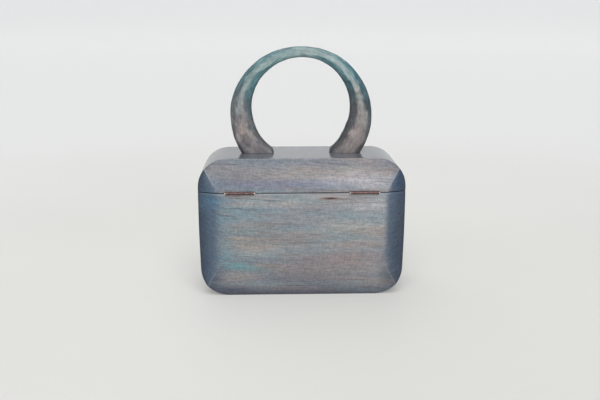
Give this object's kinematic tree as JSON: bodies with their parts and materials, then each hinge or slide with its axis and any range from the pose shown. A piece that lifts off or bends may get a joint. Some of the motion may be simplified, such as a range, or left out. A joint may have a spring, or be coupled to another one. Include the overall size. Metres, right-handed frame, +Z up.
{
  "type": "wooden handbag",
  "caption": "Hinged box handbag hollowed out of dyed wood, with rounded corners, bevelled faces and a carved loop handle on its lid.",
  "frame": {"origin": "middle of the base, on the surface that the bag stands on", "axes": "+Z up towards the handle, +Y towards the clasp side, -Y towards the hinge side, +X along the width"},
  "size_m": [0.2106, 0.0968, 0.2533],
  "materials": {
    "dyed_wood": "blue-grey dye under satin lacquer",
    "dyed_handle": "teal to brown-grey dye on knife-cut facets",
    "bare_wood": "plain sanded wood",
    "hinge_metal": "aged brown copper",
    "pin_metal": "pale worn brass"
  },
  "bodies": {
    "base": {"box_body": "dyed_wood", "hinge_left_body_leaf": "hinge_metal", "hinge_left_pin": "pin_metal", "hinge_right_body_leaf": "hinge_metal", "hinge_right_pin": "pin_metal"},
    "lid": {"box_lid": "dyed_wood", "handle": "dyed_handle", "handle_peg_left": "bare_wood", "handle_peg_right": "bare_wood", "hinge_left_lid_leaf": "hinge_metal", "hinge_right_lid_leaf": "hinge_metal", "front_clasp": "hinge_metal"}
  },
  "joints": [
    {"name": "lid_hinge", "type": "hinge", "parent": "base", "child": "lid", "pos_m": [0, -0.0468, 0.1097], "axis": [1, 0, 0], "range_deg": [0, 150]}
  ]
}
